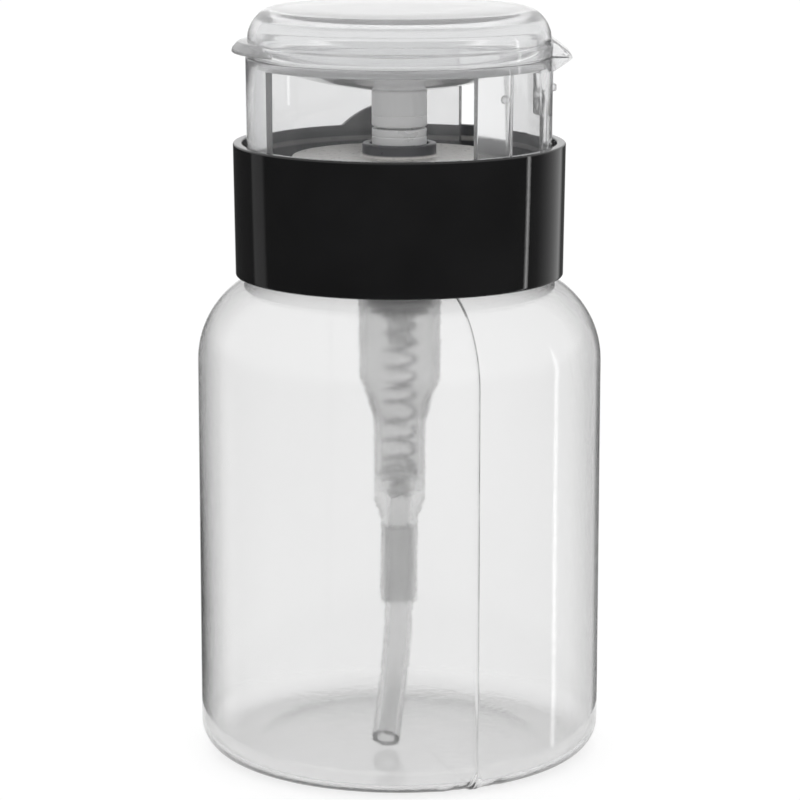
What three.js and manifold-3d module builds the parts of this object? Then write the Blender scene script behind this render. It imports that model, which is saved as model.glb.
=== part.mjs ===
// A press-down liquid dispenser bottle: a blow-moulded bottle, a black screw collar with a well,
// and a clear push head whose dish catches the liquid under a flip-top lid.
// Millimetres, +Z up. The origin is the centre of the bottle's standing ring.
// The lid's living hinge is on +X and its thumb tab on -X.
import * as THREE from 'three';
import { mergeVertices } from 'three/addons/utils/BufferGeometryUtils.js';
import Module from 'manifold-3d';

const wasm = await Module();
wasm.setup();

// ---- driving dimensions -------------------------------------------------------------------
const BIG_SIDES = 40;
const MID_SIDES = 24;
const SMALL_SIDES = 16;

const bottle = {
  radius: 31, wall: 1, heel: 4.5, shoulder: 14, shoulderZ: 61,
  ringInner: 22.5, pushUp: 2,
  neckRadius: 13.4, neckBore: 11.2, neckTop: 87,
};
const thread = { pitch: 3.2, turns: 1.25, bead: 0.7, neckCentre: 13.6, collarCentre: 14.5, startZ: 78.4 };
const collar = {
  bottom: 74, top: 94.2, radiusTop: 25.2, radiusBottom: 24.95, rimBore: 23.8,
  moatFloor: 81.8, webUnderside: 80.3, hubRadius: 16.3, hubTop: 92.1, hubPlate: 1.5,
  bore: 14.6, skirtBottom: 76, bossRadius: 5.6, bossTop: 94.1, stemHole: 4.5,
};
const lug = { arcRadius: 13.4, arcX: 0, arcZ: 84.4, fromX: -9.6, toX: 3.2 };
const housing = {
  flangeRadius: 13, flangeTop: 90.3, flangeUnder: 88.9,
  headRadius: 8.8, headBottom: 85.6, barrelRadius: 6.4, barrelBottom: 57.8, barrelBore: 5.4,
  capBore: 7.6, capSeat: 86.6,
  springRadius: 3.95, springTop: 51, springBottom: 38.6, springBore: 3.05, springSeat: 42.9,
  ballBore: 2.35, lipBore: 1.45, seatBore: 1.3, seatZ: 39.6,
  socketRadius: 2.8, socketTop: 36, socketBottom: 22.9, socketBore: 2.2, tubeStop: 34.7,
};
const stem = {
  radius: 4.15, bore: 2.9, top: 96.3, spigotRadius: 2.85, spigotTop: 101.4,
  cageBore: 1.9, cageFloor: 98.9, seatBore: 1.1, seatZ: 98.2,
  bottom: 69.9, pistonSeat: 75.5, lowRadius: 3, lowBore: 2.15,
};
const post = {
  flangeRadius: 4.4, flangeTop: 69.6, flangeUnder: 68.9,
  plug: 1.9, top: 74, guide: 1.9, bottom: 63.5, bore: 1.1,
};
const piston = { radius: 5.33, bore: 3.08, bottom: 69.9, top: 75.2, lip: 0.5 };
const spring = { meanRadius: 2.45, wire: 0.6, bottom: 43.3, top: 68.5, coils: 10.5 };
const skirt = {
  radiusTop: 23.2, radiusBottom: 23.05, inner: 22.1, bottom: 90, rimTop: 107.2, rimBottom: 105.9,
};
// Openings of the skirt, as angles round +Z from +X, with sides that run radially.
const windows = [
  { fromDeg: -148, toDeg: -60.6 },
  { fromDeg: -44, toDeg: -19 },
  { fromDeg: 41, toDeg: 65 },
];
const dish = {
  floor: 103.3, floorRadius: 5, midRadius: 13, midTop: 104.75,
  edgeRadius: 20.6, edgeTop: 106.7, radius: 21.85,
  under: 102.2, underMid: 103.6, underEdge: 105.7, rimTop: 107.15,
  socketRadius: 4.19, socketBore: 3, socketBottom: 96.6, chamberTop: 102.4, outletHole: 0.9,
};
// Small stop bumps on the outside of the skirt, and the rib that stiffens it under the lid's hinge.
const bump = { anglesDeg: [-48, 0], z: 102.4, radius: 0.65, tipRadius: 0.25, reach: 0.6 };
const rib = { inner: 21.3, fromY: -8, toY: 14.4, fromX: 15, edgeZ: 102.7, slope: -0.63, top: 105.3 };
const lid = {
  radius: 22.9, flangeRadius: 23.3, bottom: 107.5, flangeTop: 109.1, top: 114.3, wall: 1.15,
  cornerR: 2.9, cornerZ: 3.7,
};
const tab = { radius: 18, centreX: -7.3, chamfer: 1, bottom: 107.9, top: 109.5 };
const hinge = { axisX: 25.6, axisZ: 107.45, halfWidth: 5.5, gap: 0.3, rise: 2.1 };
const tube = { radius: 2.1, bore: 1.35, top: 34.4, straightTo: 21.5, endX: -2, endY: -12.6, endZ: 4.3 };
const balls = { inlet: 1.6, inletZ: 40.7, outlet: 1.5, outletZ: 99.3 };
const cover = {
  radius: 4.2, bottom: 103.6, top: 104.4, slots: 4, slotWidth: 0.7, slotInner: 1.2, slotOuter: 3.3,
};
const gasket = { outer: 13.1, inner: 11.4, bottom: 87.3, top: 88.6 };
const cap = { radius: 7.3, bore: 4.5, bottom: 86.9, step: 88, stepBore: 5.6, top: 90.2 };
const wiper = { outer: 5.3, inner: 4.22, bottom: 86.95, top: 87.7 };

// ---- helpers ------------------------------------------------------------------------------
const OVER = 1; // how far a cutting tool runs past the wall that it cuts

// Points of an arc in the (radius, z) plane, from one angle to another in degrees.
function arc(r, z, radiusR, radiusZ, fromDeg, toDeg, steps) {
  const points = [];
  for (let i = 0; i <= steps; i += 1) {
    const angle = THREE.MathUtils.degToRad(fromDeg + ((toDeg - fromDeg) * i) / steps);
    points.push([r + radiusR * Math.cos(angle), z + radiusZ * Math.sin(angle)]);
  }
  return points;
}

// Shared vertices merged and triangles of no area dropped, so that the surface is one closed body.
function weld(geometry) {
  const bare = geometry.clone();
  bare.deleteAttribute('normal');
  bare.deleteAttribute('uv');
  const merged = mergeVertices(bare, 1e-4);
  const source = merged.index.array;
  const kept = [];
  for (let i = 0; i < source.length; i += 3) {
    const [a, b, c] = [source[i], source[i + 1], source[i + 2]];
    if (a !== b && b !== c && a !== c) kept.push(a, b, c);
  }
  merged.setIndex(kept);
  return merged;
}

function signedVolume(geometry) {
  const at = geometry.attributes.position;
  const index = geometry.index.array;
  const [a, b, c] = [new THREE.Vector3(), new THREE.Vector3(), new THREE.Vector3()];
  let sum = 0;
  for (let i = 0; i < index.length; i += 3) {
    a.fromBufferAttribute(at, index[i]);
    b.fromBufferAttribute(at, index[i + 1]);
    c.fromBufferAttribute(at, index[i + 2]);
    sum += a.dot(b.cross(c)) / 6;
  }
  return sum;
}

// A welded body whose faces point out.
function body(geometry) {
  const welded = weld(geometry);
  if (signedVolume(welded) < 0) {
    const index = welded.index.array;
    for (let i = 0; i < index.length; i += 3) {
      [index[i + 1], index[i + 2]] = [index[i + 2], index[i + 1]];
    }
  }
  return welded;
}

function toSolid(geometry) {
  const closed = body(geometry);
  const mesh = new wasm.Mesh({
    numProp: 3,
    vertProperties: new Float32Array(closed.attributes.position.array),
    triVerts: new Uint32Array(closed.index.array),
  });
  return new wasm.Manifold(mesh);
}

function toGeometry(solid) {
  const mesh = solid.getMesh();
  const geometry = new THREE.BufferGeometry();
  geometry.setAttribute('position', new THREE.BufferAttribute(mesh.vertProperties, 3));
  geometry.setIndex(new THREE.BufferAttribute(mesh.triVerts, 1));
  return geometry;
}

// A body of revolution about Z; the profile lists [radius, z] and closes on the axis or on itself.
function turned(profile, sides) {
  const points = profile.map(([r, z]) => new THREE.Vector2(r, z));
  const first = points[0];
  const last = points[points.length - 1];
  if (first.x > 0 || last.x > 0) points.push(first.clone());
  const geometry = new THREE.LatheGeometry(points, sides);
  geometry.rotateX(Math.PI / 2);
  return body(geometry);
}

function ring(inner, outer, bottom, top, sides) {
  return turned([[inner, bottom], [outer, bottom], [outer, top], [inner, top]], sides);
}

function block(from, to) {
  const size = [0, 1, 2].map((i) => to[i] - from[i]);
  const geometry = new THREE.BoxGeometry(...size);
  geometry.translate(...[0, 1, 2].map((i) => (from[i] + to[i]) / 2));
  return geometry;
}

// An outline in the XZ plane, drawn as [x, z] points, extruded evenly to both sides of Y = 0.
function alongY(outline, halfWidth) {
  const shape = new THREE.Shape(outline.map(([x, z]) => new THREE.Vector2(x, z)));
  const geometry = new THREE.ExtrudeGeometry(shape, { depth: 2 * halfWidth, bevelEnabled: false });
  geometry.translate(0, 0, -halfWidth);
  geometry.rotateX(Math.PI / 2);
  return geometry;
}

class Helix extends THREE.Curve {
  constructor(radius, fromZ, toZ, turns) {
    super();
    Object.assign(this, { radius, fromZ, toZ, turns });
  }

  getPoint(t, target = new THREE.Vector3()) {
    const angle = 2 * Math.PI * this.turns * t;
    const z = this.fromZ + (this.toZ - this.fromZ) * t;
    return target.set(this.radius * Math.cos(angle), this.radius * Math.sin(angle), z);
  }
}

function circle(radius, sides) {
  const points = [];
  for (let i = 0; i < sides; i += 1) {
    const angle = (2 * Math.PI * i) / sides;
    points.push(new THREE.Vector2(radius * Math.cos(angle), radius * Math.sin(angle)));
  }
  return points;
}

function rod(path, radius, sides, steps) {
  const shape = new THREE.Shape(circle(radius, sides));
  return new THREE.ExtrudeGeometry(shape, { steps, extrudePath: path, bevelEnabled: false });
}

function threadBead(centreRadius, startZ) {
  const height = thread.pitch * thread.turns;
  const path = new Helix(centreRadius, startZ, startZ + height, thread.turns);
  return toSolid(rod(path, thread.bead, 6, 22));
}

// ---- pieces -------------------------------------------------------------------------------
function makeBottle() {
  const b = bottle;
  const shoulderTop = b.shoulderZ + b.shoulder;
  const shoulderR = b.radius - b.shoulder;
  const pushUp = (lift) => [0, 0.5, 0.8, 1].map((t) => [b.ringInner * t, lift + b.pushUp * (1 - t * t)]);
  const profile = [
    ...pushUp(0),
    ...arc(b.radius - b.heel, b.heel, b.heel, b.heel, -90, 0, 3),
    ...arc(shoulderR, b.shoulderZ, b.shoulder, b.shoulder, 0, 90, 6),
    [b.neckRadius + 0.6, shoulderTop],
    [b.neckRadius, shoulderTop + 0.6],
    [b.neckRadius, b.neckTop - 0.4],
    [b.neckRadius - 0.4, b.neckTop],
    [b.neckBore + 0.4, b.neckTop],
    [b.neckBore, b.neckTop - 0.4],
    [b.neckBore, shoulderTop - b.wall],
    ...arc(shoulderR, b.shoulderZ, b.shoulder - b.wall, b.shoulder - b.wall, 90, 0, 6),
    ...arc(b.radius - b.heel, b.heel, b.heel - b.wall, b.heel - b.wall, 0, -90, 3),
    ...pushUp(b.wall).reverse(),
  ];
  const neckThread = threadBead(thread.neckCentre, thread.startZ);
  return toGeometry(toSolid(turned(profile, BIG_SIDES)).add(neckThread));
}

function makeCollar() {
  const c = collar;
  const plateUnder = c.hubTop - c.hubPlate;
  const profile = [
    [24.1, c.bottom], [24.65, c.bottom + 0.15], [c.radiusBottom, c.bottom + 0.8],
    [c.radiusTop, c.top - 0.3], [c.radiusTop - 0.25, c.top],
    [c.rimBore + 0.2, c.top], [c.rimBore, c.top - 0.2],
    [c.rimBore - 0.05, c.moatFloor + 0.5], [c.rimBore - 0.4, c.moatFloor],
    [c.hubRadius + 0.4, c.moatFloor], [c.hubRadius, c.moatFloor + 0.4],
    [c.hubRadius, c.hubTop - 0.25], [c.hubRadius - 0.25, c.hubTop],
    [c.bossRadius, c.hubTop], [c.bossRadius, c.bossTop - 0.2], [c.bossRadius - 0.2, c.bossTop],
    [c.stemHole + 0.2, c.bossTop], [c.stemHole, c.bossTop - 0.2],
    [c.stemHole, plateUnder], [c.bore, plateUnder],
    [c.bore, c.skirtBottom + 0.4], [c.bore + 0.4, c.skirtBottom],
    [c.hubRadius - 0.3, c.skirtBottom], [c.hubRadius, c.skirtBottom + 0.3],
    [c.hubRadius, c.webUnderside], [c.rimBore - 0.1, c.webUnderside],
    [c.rimBore - 0.1, c.bottom + 0.3],
  ];
  const startZ = thread.startZ - thread.pitch / 2;
  const collarThread = threadBead(thread.collarCentre, startZ);
  const bore = toSolid(ring(c.bore - 2.5, c.bore + 0.6, c.skirtBottom, plateUnder, BIG_SIDES));
  const rimThread = collarThread.intersect(bore);
  return toGeometry(toSolid(turned(profile, BIG_SIDES)).add(rimThread).add(makeLug()));
}

// The index lug: a ramp that rises out of the rear of the rim.
function makeLug() {
  const start = Math.acos((lug.fromX - lug.arcX) / lug.arcRadius);
  const end = Math.acos((lug.toX - lug.arcX) / lug.arcRadius);
  const outline = [[lug.toX, collar.top - OVER], [lug.fromX, collar.top - OVER]];
  const steps = 8;
  for (let i = 0; i <= steps; i += 1) {
    const angle = start + ((end - start) * i) / steps;
    outline.push([lug.arcX + lug.arcRadius * Math.cos(angle), lug.arcZ + lug.arcRadius * Math.sin(angle)]);
  }
  const ramp = toSolid(alongY(outline, collar.radiusTop + OVER));
  const rear = toSolid(block([-20, 0, collar.top - OVER], [20, 40, collar.top + 10]));
  const [inner, outer] = [collar.rimBore + 0.1, collar.radiusTop - 0.1];
  const rim = toSolid(ring(inner, outer, collar.top - OVER, collar.top + 6, BIG_SIDES));
  return ramp.intersect(rear).intersect(rim);
}

function makeHousing() {
  const h = housing;
  return turned([
    [h.capBore, h.flangeTop], [h.flangeRadius, h.flangeTop], [h.flangeRadius, h.flangeUnder],
    [h.headRadius, h.flangeUnder], [h.headRadius, h.headBottom], [h.barrelRadius, h.headBottom - 1.4],
    [h.barrelRadius - 0.15, h.barrelBottom], [h.springRadius + 1.3, h.barrelBottom - 2.2],
    [h.springRadius, h.springTop], [h.springRadius - 0.05, h.springBottom],
    [h.socketRadius, h.socketTop], [h.socketRadius, h.socketBottom + 0.3],
    [h.socketRadius - 0.2, h.socketBottom],
    [h.socketBore, h.socketBottom], [h.socketBore, h.tubeStop], [h.seatBore, h.tubeStop],
    [h.seatBore, h.seatZ], [h.ballBore, h.seatZ + 0.8], [h.ballBore, h.springSeat - 0.7],
    [h.lipBore, h.springSeat - 0.3], [h.lipBore, h.springSeat], [h.springBore, h.springSeat],
    [h.springBore, h.springTop + 0.6], [h.barrelBore, h.barrelBottom - 0.9], [h.barrelBore, h.capSeat],
    [h.capBore, h.capSeat],
  ], MID_SIDES);
}

function makeCap() {
  return turned([
    [cap.stepBore, cap.bottom], [cap.radius, cap.bottom], [cap.radius, cap.top], [cap.bore, cap.top],
    [cap.bore, cap.step], [cap.stepBore, cap.step],
  ], MID_SIDES);
}

function makeStem() {
  const s = stem;
  return turned([
    [s.lowBore, s.bottom], [s.lowRadius, s.bottom], [s.lowRadius, s.pistonSeat], [s.radius, s.pistonSeat],
    [s.radius, s.top], [s.spigotRadius, s.top], [s.spigotRadius, s.spigotTop], [s.cageBore, s.spigotTop],
    [s.cageBore, s.cageFloor], [s.seatBore, s.seatZ], [s.seatBore, s.seatZ - 0.7], [s.bore, s.top - 1],
    [s.bore, s.pistonSeat + 1], [s.lowBore, s.pistonSeat],
  ], MID_SIDES);
}

function makePost() {
  const p = post;
  return turned([
    [p.bore, p.bottom], [p.guide, p.bottom], [p.guide, p.flangeUnder], [p.flangeRadius, p.flangeUnder],
    [p.flangeRadius, p.flangeTop], [p.plug, p.flangeTop], [p.plug, p.top], [p.bore, p.top],
  ], SMALL_SIDES);
}

// Two feather lips and a thick web between them.
function makePiston() {
  const p = piston;
  const web = p.radius - 0.6;
  return turned([
    [p.bore, p.bottom + 0.2], [web, p.bottom + 0.2], [p.radius, p.bottom - 0.1 + p.lip],
    [p.radius, p.bottom + 3 * p.lip], [web, p.bottom + 4 * p.lip], [web, p.top - 4 * p.lip],
    [p.radius, p.top - 2 * p.lip], [p.radius, p.top], [web, p.top - p.lip], [p.bore, p.top - p.lip],
  ], MID_SIDES);
}

function makeSpring() {
  const path = new Helix(spring.meanRadius, spring.bottom, spring.top, spring.coils);
  return rod(path, spring.wire / 2, 5, 10 * spring.coils);
}

// A four-sided block between two angles and two radii.
function wedge(gap, innerRadius, outerRadius, bottom, top) {
  const from = THREE.MathUtils.degToRad(gap.fromDeg);
  const to = THREE.MathUtils.degToRad(gap.toDeg);
  const corners = [[innerRadius, from], [outerRadius, from], [outerRadius, to], [innerRadius, to]];
  const outline = new THREE.Shape(
    corners.map(([r, angle]) => new THREE.Vector2(r * Math.cos(angle), r * Math.sin(angle))),
  );
  const prism = new THREE.ExtrudeGeometry(outline, { depth: top - bottom, bevelEnabled: false });
  prism.translate(0, 0, bottom);
  return prism;
}

function makeSkirt() {
  let shell = toSolid(turned([
    [skirt.inner, skirt.bottom + 0.3], [skirt.inner + 0.3, skirt.bottom],
    [skirt.radiusBottom - 0.3, skirt.bottom],
    [skirt.radiusBottom, skirt.bottom + 0.3], [skirt.radiusTop, skirt.rimBottom],
    [skirt.radiusTop, skirt.rimTop - 0.25], [skirt.radiusTop - 0.25, skirt.rimTop],
    [skirt.inner, skirt.rimTop],
  ], BIG_SIDES));
  for (const gap of windows) {
    const cut = wedge(gap, skirt.inner / 2, 2 * skirt.inner, skirt.bottom - OVER, skirt.rimBottom);
    shell = shell.subtract(toSolid(cut));
  }
  for (const angleDeg of bump.anglesDeg) {
    const length = bump.reach + 0.7;
    const cone = new THREE.CylinderGeometry(bump.tipRadius, bump.radius, length, 8);
    cone.rotateZ(-Math.PI / 2);
    cone.translate(skirt.radiusTop + bump.reach - length / 2, 0, bump.z);
    cone.rotateZ(THREE.MathUtils.degToRad(angleDeg));
    shell = shell.add(toSolid(cone));
  }
  return toGeometry(shell.add(makeRib()));
}

// The rib is a band inside the wall whose lower edge falls towards the hinge.
function makeRib() {
  const farX = skirt.radiusTop;
  const falling = alongY([
    [rib.fromX, rib.edgeZ], [farX, rib.edgeZ + rib.slope * (farX - rib.fromX)],
    [farX, rib.top], [rib.fromX, rib.top],
  ], rib.toY);
  const span = block([rib.fromX, rib.fromY, skirt.bottom], [farX, rib.toY, skirt.rimTop]);
  const band = ring(rib.inner, skirt.inner + 0.3, skirt.bottom, skirt.rimTop, BIG_SIDES);
  return toSolid(band).intersect(toSolid(falling)).intersect(toSolid(span));
}

function makeDish() {
  const d = dish;
  return turned([
    [d.outletHole, d.floor], [d.floorRadius, d.floor], [d.midRadius, d.midTop], [d.edgeRadius, d.edgeTop],
    [d.edgeRadius + 0.3, d.rimTop], [d.radius, d.rimTop],
    [d.radius, d.underEdge], [d.edgeRadius, d.underEdge],
    [d.midRadius, d.underMid], [d.socketRadius, d.under], [d.socketRadius, d.socketBottom],
    [d.socketBore, d.socketBottom], [d.socketBore, d.chamberTop], [d.outletHole, d.chamberTop],
  ], BIG_SIDES);
}

function makeCover() {
  let disc = toSolid(turned([
    [0, cover.bottom], [cover.radius, cover.bottom], [cover.radius, cover.top - 0.3],
    [cover.radius - 0.3, cover.top], [0, cover.top],
  ], MID_SIDES));
  for (let i = 0; i < cover.slots; i += 1) {
    const half = cover.slotWidth / 2;
    const [from, to] = [cover.bottom - OVER, cover.top + OVER];
    const slot = block([cover.slotInner, -half, from], [cover.slotOuter, half, to]);
    slot.rotateZ((2 * Math.PI * (i + 0.5)) / cover.slots);
    disc = disc.subtract(toSolid(slot));
  }
  return toGeometry(disc);
}

function makeLid() {
  const d = lid;
  const cornerZ = d.top - d.cornerZ;
  const cornerR = d.radius - d.cornerR;
  const inner = d.radius - d.wall;
  const shell = toSolid(turned([
    [0, d.top], ...arc(cornerR, cornerZ, d.cornerR, d.cornerZ, 90, 0, 5),
    [d.radius, d.flangeTop + 0.3], [d.flangeRadius, d.flangeTop], [d.flangeRadius, d.bottom + 0.2],
    [d.flangeRadius - 0.2, d.bottom], [inner, d.bottom],
    ...arc(cornerR - 0.3, cornerZ, d.cornerR - d.wall + 0.3, d.cornerZ - d.wall, 0, 90, 4),
    [0, d.top - d.wall],
  ], BIG_SIDES));
  const height = tab.top - tab.bottom;
  const lip = new THREE.CylinderGeometry(tab.radius - tab.chamfer, tab.radius, height, BIG_SIDES);
  lip.rotateX(Math.PI / 2);
  lip.translate(tab.centreX, 0, (tab.top + tab.bottom) / 2);
  const core = toSolid(ring(0.01, d.radius - 0.4, tab.bottom - OVER, tab.top + OVER, BIG_SIDES));
  const half = toSolid(block([-40, -40, tab.bottom - OVER], [-8, 40, tab.top + OVER]));
  const crescent = toSolid(lip).intersect(half).subtract(core);
  return toGeometry(shell.add(crescent));
}

// The living hinge: a wedge on the lid and a wedge on the skirt's rim, meeting at the fold line.
function makeWeb(side) {
  const h = hinge;
  const rootX = (side > 0 ? lid.flangeRadius : skirt.radiusTop) + h.gap;
  return alongY([
    [rootX, h.axisZ + side * 0.15], [h.axisX - 0.3, h.axisZ + side * 0.12],
    [h.axisX - 0.05, h.axisZ + side * 0.3], [rootX, h.axisZ + side * h.rise],
  ], h.halfWidth);
}

// The dip tube hangs straight out of its socket and then bows forward to the floor.
class DipPath extends THREE.Curve {
  getPoint(t, target = new THREE.Vector3()) {
    const z = tube.top + (tube.endZ - tube.top) * t;
    const fall = Math.max(0, (tube.straightTo - z) / (tube.straightTo - tube.endZ));
    const bend = fall ** 1.6;
    return target.set(tube.endX * bend, tube.endY * bend, z);
  }
}

function makeTube() {
  const shape = new THREE.Shape(circle(tube.radius, 10));
  shape.holes.push(new THREE.Path(circle(tube.bore, 10)));
  return new THREE.ExtrudeGeometry(shape, { steps: 14, extrudePath: new DipPath(), bevelEnabled: false });
}

function makeBall(radius, z) {
  const geometry = new THREE.SphereGeometry(radius, 12, 8);
  geometry.translate(0, 0, z);
  return geometry;
}

// ---- materials ----------------------------------------------------------------------------
function material(color, roughness, metalness = 0, opacity = 1) {
  return new THREE.MeshStandardMaterial({ color, roughness, metalness, opacity, transparent: opacity < 1 });
}

const finish = {
  bottlePlastic: material(0xe6e7e7, 0.35, 0, 0.4),
  blackPlastic: material(0x0c0c0d, 0.12),
  clearPlastic: material(0xf2f3f4, 0.12, 0, 0.35),
  pumpPlastic: material(0xe9eaea, 0.4, 0, 0.75),
  softSeal: material(0xdcdcd8, 0.6),
  steel: material(0xb8bcc0, 0.25, 1),
};

// ---- assembly -----------------------------------------------------------------------------
const pieces = [
  ['bottle', makeBottle(), finish.bottlePlastic],
  ['collar', makeCollar(), finish.blackPlastic],
  ['neck_gasket', ring(gasket.inner, gasket.outer, gasket.bottom, gasket.top, MID_SIDES), finish.softSeal],
  ['pump_housing', makeHousing(), finish.pumpPlastic],
  ['housing_cap', makeCap(), finish.pumpPlastic],
  ['stem_wiper', ring(wiper.inner, wiper.outer, wiper.bottom, wiper.top, MID_SIDES), finish.softSeal],
  ['inlet_ball', makeBall(balls.inlet, balls.inletZ), finish.steel],
  ['return_spring', makeSpring(), finish.steel],
  ['piston_post', makePost(), finish.pumpPlastic],
  ['piston', makePiston(), finish.softSeal],
  ['stem', makeStem(), finish.pumpPlastic],
  ['outlet_ball', makeBall(balls.outlet, balls.outletZ), finish.steel],
  ['outlet_cover', makeCover(), finish.clearPlastic],
  ['dish', makeDish(), finish.clearPlastic],
  ['skirt', makeSkirt(), finish.clearPlastic],
  ['hinge_web_lower', makeWeb(-1), finish.clearPlastic],
  ['hinge_web_upper', makeWeb(1), finish.clearPlastic],
  ['lid', makeLid(), finish.clearPlastic],
  ['dip_tube', makeTube(), finish.pumpPlastic],
];

const dispenser = new THREE.Group();
for (const [name, geometry, look] of pieces) {
  const mesh = new THREE.Mesh(body(geometry), look);
  mesh.name = name;
  dispenser.add(mesh);
}

export default dispenser;
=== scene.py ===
"""Press-down liquid dispenser bottle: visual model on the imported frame.

The bottle, collar, pump and push head are rebuilt here as fine surfaces on the CAD's own dimensions.
"""
import math

import bmesh
import bpy
from mathutils import Matrix, Vector


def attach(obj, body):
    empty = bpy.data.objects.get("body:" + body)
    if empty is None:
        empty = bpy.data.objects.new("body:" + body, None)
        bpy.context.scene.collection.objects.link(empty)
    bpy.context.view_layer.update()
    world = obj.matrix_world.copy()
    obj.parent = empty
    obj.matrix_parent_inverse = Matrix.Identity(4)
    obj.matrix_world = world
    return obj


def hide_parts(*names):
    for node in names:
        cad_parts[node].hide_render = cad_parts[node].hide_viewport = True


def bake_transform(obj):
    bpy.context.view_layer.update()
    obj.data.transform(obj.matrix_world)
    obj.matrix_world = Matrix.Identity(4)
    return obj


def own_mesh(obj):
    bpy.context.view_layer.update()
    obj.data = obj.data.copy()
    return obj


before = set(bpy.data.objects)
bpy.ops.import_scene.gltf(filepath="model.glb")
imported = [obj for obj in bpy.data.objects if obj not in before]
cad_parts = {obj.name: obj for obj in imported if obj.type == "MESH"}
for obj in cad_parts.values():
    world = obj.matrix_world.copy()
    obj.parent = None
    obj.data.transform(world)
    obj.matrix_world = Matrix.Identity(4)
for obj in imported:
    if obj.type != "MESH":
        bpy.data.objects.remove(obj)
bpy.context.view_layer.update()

# ---- dimensions in millimetres, as in the CAD ------------------------------------------------
MM = 0.001
BIG, MID, SMALL = 192, 96, 64

BOTTLE_R, WALL, HEEL, SHOULDER, SHOULDER_Z = 31.0, 1.0, 4.5, 14.0, 61.0
NECK_R, NECK_BORE, NECK_TOP = 13.4, 11.2, 87.0
RING_INNER, PUSH_UP = 22.5, 2.0
SEAM_DEG = (-68.0, 112.0)
# The outer skin stays this far inside the CAD's radius, so that the parting lines can stand proud of it.
SKIN_INSET = 0.2
SCAR_WIDTH_DEG, SCAR_COARSE, SCAR_FINE = 9, 0.35, 0.22
COLLAR_BOTTOM, COLLAR_TOP, RIM_R, RIM_BORE = 74.0, 94.2, 25.2, 23.8
HUB_R, HUB_TOP, MOAT_Z, WEB_Z = 16.3, 92.1, 81.8, 80.3
LUG_R, LUG_Z, LUG_END_X = 13.4, 84.4, 3.2
SKIRT_R, SKIRT_BORE, SKIRT_BOTTOM, SKIRT_TOP, SKIRT_BAND = 23.2, 22.1, 90.0, 107.2, 105.9
WINDOWS_DEG = ((-148, -60.6), (-44, -19), (41, 65))
BUMP_DEG = (-48, 0)
BUMP_Z = 102.4
BUMP_R, BUMP_ROOT, BUMP_TIP = 0.62, 22.6, 23.7
RIB_INNER, RIB_OUTER, RIB_TOP = 21.3, 22.4, 105.3
RIB_FROM_DEG, RIB_SPAN_DEG, RIB_STEPS = -21, 62, 32
RIB_EDGE_Z, RIB_SLOPE, RIB_EDGE_X = 102.7, 0.63, 15
SPRING_R, SPRING_WIRE_R, SPRING_FOOT, SPRING_HEAD = 2.45, 0.3, 43.3, 68.5
# The closed turn at each end takes this much height. With the 8.5 open turns there are 10.5 in all.
SPRING_END, SPRING_OPEN_TURNS = 0.45, 8.5
TUBE_R, TUBE_BORE, TUBE_TOP, TUBE_END = 2.1, 1.35, 34.4, 4.3
TUBE_STRAIGHT_TO, TUBE_END_X, TUBE_END_Y = 21.5, -2.0, -12.6
THUMB_R, THUMB_SHIFT = 18.0, -7.3
HINGE_HALF = 5.5

# ---- studio ----------------------------------------------------------------------------------
# Azimuth round the object from the front, positive to the right, and how bright the studio is there.
STUDIO_RING = (
    (-180, 1.0), (-172, 1.0), (-166, 0.05), (-124, 0.03), (-121, 0.3), (-109, 0.3), (-106, 0.03), (-60, 0.03),
    (60, 0.05), (98, 0.05), (99.4, 4.0), (100.6, 4.0), (102, 0.05), (112, 0.1), (148, 0.8), (155, 0.1),
    (168, 0.1), (173, 1.0), (180, 1.0),
)
# Elevation, and how much of the ring is left there.
STUDIO_LOW = ((-90, 1.0), (10, 1.0), (24, 0.0), (90, 0.0))
# Elevation, and how bright the studio is there.
STUDIO_TOP = ((-90, 0.0), (-3, 0.0), (8, 0.8), (30, 0.9), (90, 1.0))
# The white backdrop: as the camera sees it, and as it shows through the clear pieces.
STUDIO_SEEN, STUDIO_THROUGH = 1.02, 1.04
# How brightly the studio's tent lights matt and milky surfaces.
STUDIO_TENT = 1.12
FLOOR_R = 42.0
CAMERA_LENS, CAMERA_AT, CAMERA_AIM = 154.8, (0.0001, -0.5179, 0.1578), (0.0001, 0, 0.0543)


# ---- mesh helpers ----------------------------------------------------------------------------
def arc(r, z, reach_r, reach_z, start, end, steps):
    """Points of an arc in the (radius, z) plane, between two angles in degrees."""
    points = []
    for i in range(steps + 1):
        a = math.radians(start + (end - start) * i / steps)
        points.append((r + reach_r * math.cos(a), z + reach_z * math.sin(a)))
    return points


def rounded(corners, radii, steps=4):
    """A closed outline in the (radius, z) plane with each corner rounded by its own radius."""
    count = len(corners)
    points = []
    for i, corner in enumerate(corners):
        radius = radii[i] if isinstance(radii, (list, tuple)) else radii
        here = Vector(corner)
        back = Vector(corners[i - 1]) - here
        ahead = Vector(corners[(i + 1) % count]) - here
        if radius <= 0 or back.length < 1e-6 or ahead.length < 1e-6:
            points.append(tuple(here))
            continue
        cut = min(radius, back.length * 0.45, ahead.length * 0.45)
        start = here + back.normalized() * cut
        end = here + ahead.normalized() * cut
        for k in range(steps + 1):
            t = k / steps
            p = start * (1 - t) ** 2 + here * 2 * t * (1 - t) + end * t ** 2
            points.append(tuple(p))
    return points


def new_object(name, mesh, sharp=40):
    """An object made from a mesh, smooth except where faces meet at more than the sharp angle."""
    mesh.shade_smooth()
    mesh.set_sharp_from_angle(angle=math.radians(sharp))
    item = bpy.data.objects.new(name, mesh)
    bpy.context.scene.collection.objects.link(item)
    return item


def bmesh_to_mesh(name, bm):
    bmesh.ops.recalc_face_normals(bm, faces=bm.faces)
    mesh = bpy.data.meshes.new(name)
    bm.to_mesh(mesh)
    bm.free()
    return mesh


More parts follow.
